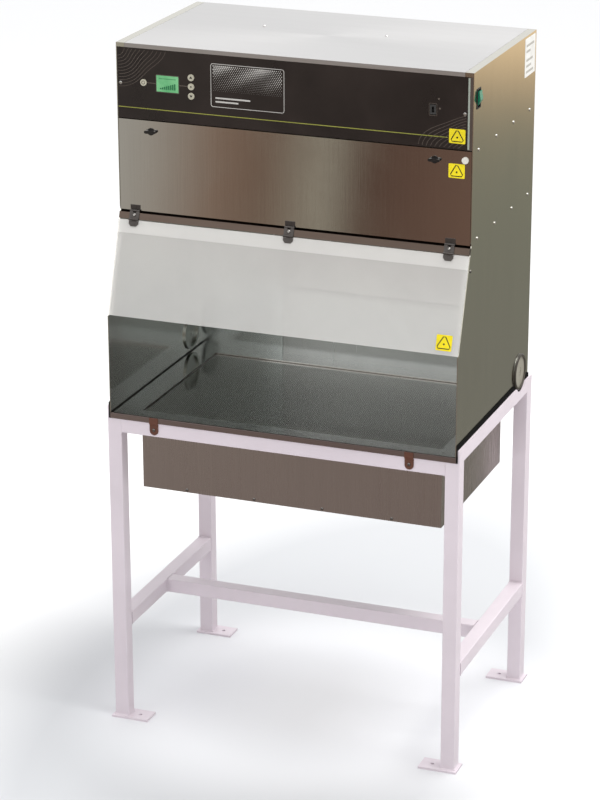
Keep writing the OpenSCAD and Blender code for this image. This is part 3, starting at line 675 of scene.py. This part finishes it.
# black sealant where the side panels meet the worktop
SEALANT_SIZE = 0.0042
SEALANT = ((-0.05, -0.05), (1.0, -0.05), (0.75, 0.35), (0.35, 0.75), (-0.05, 1.0))
bm = bmesh.new()
worktop_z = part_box("tray")[1][2]
x_left, x_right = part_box("side_left")[0][0] + 0.002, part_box("side_right")[1][0] - 0.002
y_front, y_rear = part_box("tray")[0][1] + 0.003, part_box("back_wall_left")[0][1]
stations = 60
for x, s in ((x_left, 1), (x_right, -1)):
    previous = None
    for i in range(stations):
        y = y_front + (y_rear - y_front) * i / (stations - 1)
        w = SEALANT_SIZE * (1 + 0.12 * math.sin(i * 1.3))
        ring = [bm.verts.new((x + s * a * w, y, worktop_z + b * w)) for a, b in SEALANT]
        if previous:
            for k in range(5):
                f = (previous[k], previous[(k + 1) % 5], ring[(k + 1) % 5], ring[k])
                bm.faces.new(f if s < 0 else f[::-1])
        previous = ring
piece("worktop_sealant", bm, "seal", "body", smooth=True)

# slit flaps over the cable hole in each port membrane, their tips a little proud
FLAP_RADIUS, FLAP_HALF, FLAP_STEPS = 0.0149, 0.0006, 12
FLAP_X, FLAP_TIP, FLAP_SPAN = 0.5005, 0.0006, (1.6, 88.4)
bm = bmesh.new()
for name, s in (("port_ring_l", -1), ("port_ring_r", 1)):
    lo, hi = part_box(name)
    cy, cz = (lo[1] + hi[1]) / 2, (lo[2] + hi[2]) / 2
    x = s * FLAP_X
    for q in range(4):
        first, last = [math.radians(90 * q + a) for a in FLAP_SPAN]
        turns = [first + (last - first) * i / FLAP_STEPS for i in range(FLAP_STEPS + 1)]
        mid = math.radians(90 * q + 45)
        pts = [(FLAP_TIP * math.cos(mid), FLAP_TIP * math.sin(mid))]
        pts += [(FLAP_RADIUS * math.cos(a), FLAP_RADIUS * math.sin(a)) for a in turns]
        lip = FLAP_HALF * (1 + 0.5 * math.sin(q * 2.3))
        front = []
        for i, (u, v) in enumerate(pts):
            proud = FLAP_HALF + (lip if i == 0 else 0)
            front.append(bm.verts.new((x + s * proud, cy + u, cz + v)))
        back = [bm.verts.new((x - s * FLAP_HALF, cy + u, cz + v)) for u, v in pts]
        bm.faces.new(front)
        bm.faces.new(back[::-1])
        for i in range(len(pts)):
            j = (i + 1) % len(pts)
            bm.faces.new((back[i], back[j], front[j], front[i]))
bmesh.ops.recalc_face_normals(bm, faces=bm.faces)
piece("port_slit_flaps", bm, "ring", "body")

# domed rivets round the rear cover, each of three stacked discs: radius, foot and top
RIVET = ((0.0052, 0.0, 0.0008), (0.0043, 0.0008, 0.0015), (0.0027, 0.0015, 0.0019))
bm = bmesh.new()
cover_lo, cover_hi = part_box("rear_cover")
rear = Plane((0, cover_hi[1], 0), (-1, 0, 0), (0, 0, 1))
inset_z, inset_x, gaps_up, gaps_across = 0.016, 0.014, 8, 7
z0, z1, half = cover_lo[2] + inset_z, cover_hi[2] - inset_z, cover_hi[0] - inset_x
spots = [(u, z0 + (z1 - z0) * i / gaps_up) for u in (-half, half) for i in range(gaps_up + 1)]
spots += [(-half + 2 * half * i / gaps_across, z) for z in (z0, z1) for i in range(1, gaps_across)]
for u, v in spots:
    for r, foot, tip in RIVET:
        prism(bm, rear, disc(u, v, r, 16), foot, tip)
piece("rear_cover_rivets", bm, "rivet", "body")

# the section of a weld bead, and its size at a foot plate and at the level and upright edges of a rail
BEAD = ((-0.1, -0.1), (1.0, -0.1), (0.86, 0.22), (0.5, 0.5), (0.22, 0.86), (-0.1, 1.0))
FOOT_BEAD, LEVEL_BEAD, UPRIGHT_BEAD = 0.0028, 0.0026, 0.0024


def bead(bm, pts, r, normal_a, normal_b):
    """A lumpy fillet along the points, in the corner of two faces with those normals."""
    a, b = Vector(normal_a), Vector(normal_b)
    rings = []
    for i, point in enumerate(pts):
        k = r * (1 + 0.10 * math.sin(i * 2.1))
        p = Vector(point)
        rings.append([bm.verts.new(p + a * k * x + b * k * y) for x, y in BEAD])
    for low, high in zip(rings, rings[1:]):
        for j in range(6):
            bm.faces.new((low[j], low[(j + 1) % 6], high[(j + 1) % 6], high[j]))
    bm.faces.new(rings[0][::-1])
    bm.faces.new(rings[-1])


def seam(p, q, k=26):
    """k points from p to q."""
    p, q = Vector(p), Vector(q)
    return [p.lerp(q, i / (k - 1)) for i in range(k)]


def rail_point(along, value, across_axis, across_value, z):
    """A point with one value on the rail's own axis and one on the other level axis."""
    p = [0, 0, z]
    p[along], p[across_axis] = value, across_value
    return p


# weld beads round the joints of the stand: legs on foot plates, then the ends of tubes and rails
bm = bmesh.new()
for leg in ("leg_fl", "leg_fr", "leg_rl", "leg_rr"):
    lo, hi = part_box(leg)
    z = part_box("foot_plates")[1][2]
    x0, x1, y0, y1 = lo[0], hi[0], lo[1], hi[1]
    for a, b, n in (((x0, y0), (x1, y0), (0, -1, 0)), ((x0, y1), (x1, y1), (0, 1, 0)),
                    ((x0, y0), (x0, y1), (-1, 0, 0)), ((x1, y0), (x1, y1), (1, 0, 0))):
        bead(bm, seam((*a, z), (*b, z)), FOOT_BEAD, n, (0, 0, 1))
RAILS = (("front_tube", 0), ("rear_tube", 0), ("low_rail_l", 1), ("low_rail_r", 1), ("cross_rail", 0))
for rail, axis in RAILS:
    lo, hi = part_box(rail)
    other = 1 - axis
    is_tube = rail in ("front_tube", "rear_tube")
    for end, sign in ((lo, 1), (hi, -1)):
        e = end[axis]
        out = [0, 0, 0]
        out[axis] = sign
        for z, up in ((lo[2], -1), (hi[2], 1)):
            # no bead on top of the two tubes
            if is_tube and up > 0:
                continue
            p = rail_point(axis, e, other, lo[other] + 0.001, z)
            q = rail_point(axis, e, other, hi[other] - 0.001, z)
            bead(bm, seam(p, q), LEVEL_BEAD, out, (0, 0, up))
        for w, facing in ((lo[other], -1), (hi[other], 1)):
            # nor on their outer sides
            if is_tube and facing * lo[1] > 0:
                continue
            p = rail_point(axis, e, other, w, lo[2] + 0.001)
            q = rail_point(axis, e, other, w, hi[2] - 0.001)
            normal = [0, 0, 0]
            normal[other] = facing
            bead(bm, seam(p, q), UPRIGHT_BEAD, out, normal)
piece("stand_welds", bm, "stand", "body", smooth=True)


# ---------------------------------------------------------------- stage
def stage_floor():
    """A level floor that reflections don't see, with a painted soft grey shadow round the stand."""
    bm = bmesh.new()
    bmesh.ops.create_grid(bm, x_segments=8, y_segments=8, size=14)
    mesh = bpy.data.meshes.new("studio_floor")
    bm.to_mesh(mesh)
    bm.free()
    m = Mat("studio_floor")
    drift = m.noise((1, 1, 1), 1.2, 3, 0.5)
    x, y = m.xyz()[:2]

    def dist(dx, dy, kx, ky):
        a = m.math("MULTIPLY", m.math("ADD", x, dx), kx)
        b = m.math("MULTIPLY", m.math("ADD", y, dy), ky)
        return m.math("SQRT", m.math("ADD", m.math("MULTIPLY", a, a), m.math("MULTIPLY", b, b)))

    # painted shadow and light: pale right under the stand to soften its cast shadow, grey round it, darker in
    # front, almost white further out
    painted_shadow_tone = m.ramp(dist(0.0, 0.05, 1.0, 1.0), [(0.0, (0.96, 0.97, 0.985)), (0.4, (0.90, 0.915, 0.945)),
                                              (0.8, (0.62, 0.635, 0.66))], True)
    front = m.math("MULTIPLY", m.range(y, 0.0, 1.0, -0.1, -0.75), m.range(x, 0.0, 1.0, -0.45, 0.2))
    painted_shadow_tone = m.mix(front, painted_shadow_tone, (0.72, 0.715, 0.71), "MULTIPLY")
    far = m.range(dist(0.1, 0.0, 1.0, 0.45), 0.0, 1.0, 0.60, 1.05)
    tone = m.mix(far, painted_shadow_tone, (0.965, 0.972, 0.985))
    m.color(m.mix(m.range(drift, 0, 0.3), tone, times((1, 1, 1), 0.97), "MULTIPLY"))
    m.rough(m.range(drift, 0.75, 0.85))
    mesh.materials.append(m.material)
    o = bpy.data.objects.new("studio_floor", mesh)
    scene.collection.objects.link(o)
    o.visible_glossy = False


def area(name, place, target, size, energy, color):
    """A square lamp at a place, turned to a target."""
    lamp = bpy.data.lights.new(name, "AREA")
    lamp.shape, lamp.size, lamp.energy, lamp.color = "SQUARE", size, energy, color
    o = bpy.data.objects.new(name, lamp)
    o.location = place
    o.rotation_euler = (Vector(target) - Vector(place)).to_track_quat("-Z", "Y").to_euler()
    scene.collection.objects.link(o)


# tones of the world by the Z of a reflection that goes backwards, and by the X of one to the front
BEHIND = [(-1, (0.235, 0.23, 0.21)), (-0.33, (0.245, 0.24, 0.21)), (-0.275, (0.255, 0.255, 0.21)),
          (-0.245, (0.29, 0.28, 0.22)), (-0.232, (0.62, 0.47, 0.31)), (-0.212, (1.35, 1.0, 0.62)),
          (-0.195, (1.0, 0.86, 0.66)), (-0.16, (0.72, 0.69, 0.62)), (-0.05, (0.75, 0.74, 0.70)),
          (0.0, (1.05, 1.05, 1.05)), (1, (1.05, 1.05, 1.05))]
FRONT = [(-1, (0.60, 0.58, 0.52)), (-0.42, (0.62, 0.62, 0.57)), (-0.395, (0.50, 0.47, 0.41)),
         (-0.375, (0.32, 0.215, 0.155)), (-0.354, (0.20, 0.13, 0.095)), (-0.347, (0.38, 0.34, 0.265)),
         (-0.339, (0.64, 0.62, 0.50)), (-0.332, (0.11, 0.065, 0.047)), (-0.31, (0.18, 0.108, 0.08)),
         (-0.28, (0.24, 0.15, 0.11)), (0.1, (0.30, 0.24, 0.20)), (1, (0.5, 0.48, 0.44))]


def studio_world():
    """White to the camera; to everything else a room graded by direction, with a bright patch in front."""
    world = bpy.data.worlds.new("studio")
    scene.world = world
    world.use_nodes = True
    tree = world.node_tree
    tree.nodes.clear()
    link = tree.links.new

    def add(kind, **settings):
        node = tree.nodes.new(kind)
        for key, value in settings.items():
            setattr(node, key, value)
        return node

    def ramp(v, stops):
        """A colour ramp over -1..1."""
        span = add("ShaderNodeMapRange")
        span.inputs["From Min"].default_value, span.inputs["From Max"].default_value = -1, 1
        link(v, span.inputs[0])
        node = add("ShaderNodeValToRGB")
        fill_ramp(node.color_ramp.elements, [(place / 2 + 0.5, color) for place, color in stops])
        link(span.outputs[0], node.inputs[0])
        return node.outputs[0]

    def blend(fac, a, b):
        node = add("ShaderNodeMix", data_type="RGBA")
        link(fac, node.inputs[0])
        for value, socket in ((a, node.inputs[6]), (b, node.inputs[7])):
            if hasattr(value, "node"):
                link(value, socket)
            else:
                socket.default_value = (*value, 1)
        return node.outputs[2]

    def step(v, a, b):
        """0 at a, 1 at b, and smooth between."""
        node = add("ShaderNodeMapRange", interpolation_type="SMOOTHSTEP")
        node.inputs["From Min"].default_value, node.inputs["From Max"].default_value = a, b
        link(v, node.inputs[0])
        return node.outputs[0]

    def prod(a, b):
        node = add("ShaderNodeMath", operation="MULTIPLY")
        link(a, node.inputs[0])
        link(b, node.inputs[1])
        return node.outputs[0]

    out, background = add("ShaderNodeOutputWorld"), add("ShaderNodeBackground")
    link(background.outputs[0], out.inputs[0])
    direction, parts = add("ShaderNodeTexCoord"), add("ShaderNodeSeparateXYZ")
    link(direction.outputs["Generated"], parts.inputs[0])
    x, y, z = parts.outputs
    behind = ramp(z, BEHIND)
    front = blend(step(z, -0.30, -0.35), ramp(x, FRONT), (0.30, 0.25, 0.235))
    front = blend(step(z, -0.18, 0.0), front, (0.30, 0.255, 0.225))
    front = blend(step(z, 0.22, 0.36), front, (1.08, 1.08, 1.08))
    patch_height = prod(step(z, 0.19, 0.25), step(z, 0.46, 0.38))
    patch_width = prod(step(x, -0.62, -0.5), step(x, -0.12, -0.22))
    front = blend(prod(patch_height, patch_width), front, (1.9, 1.88, 1.85))
    both = blend(step(y, -0.25, 0.25), front, behind)
    seen_by = add("ShaderNodeLightPath")
    link(blend(seen_by.outputs["Is Camera Ray"], both, (1.0, 1.0, 1.0)), background.inputs[0])
    background.inputs[1].default_value = 0.95


CAMERA_PLACE, CAMERA_TURN = (2.65583, -7.05775, 3.62545), (1.216822, -0.005348, 0.346471)
CAMERA_LENS, CAMERA_SHIFT = 128.88, (-0.0806, 0.0314)

stage_floor()
studio_world()
area("key", (1.5, 0.3, 5.3), (0, 0, 0.6), size=3.2, energy=190, color=(1.0, 0.985, 0.96))
area("fill", (-2.8, -3.6, 3.0), (0, 0, 1.0), size=2.6, energy=8, color=(0.97, 0.98, 1.0))

cam = bpy.data.cameras.new("camera")
co = bpy.data.objects.new("camera", cam)
scene.collection.objects.link(co)
co.location = CAMERA_PLACE
co.rotation_euler = CAMERA_TURN
cam.lens, cam.sensor_width, cam.sensor_fit = CAMERA_LENS, 36, "AUTO"
cam.shift_x, cam.shift_y = CAMERA_SHIFT
cam.clip_end = 60
scene.camera = co
scene.view_settings.view_transform = "Standard"
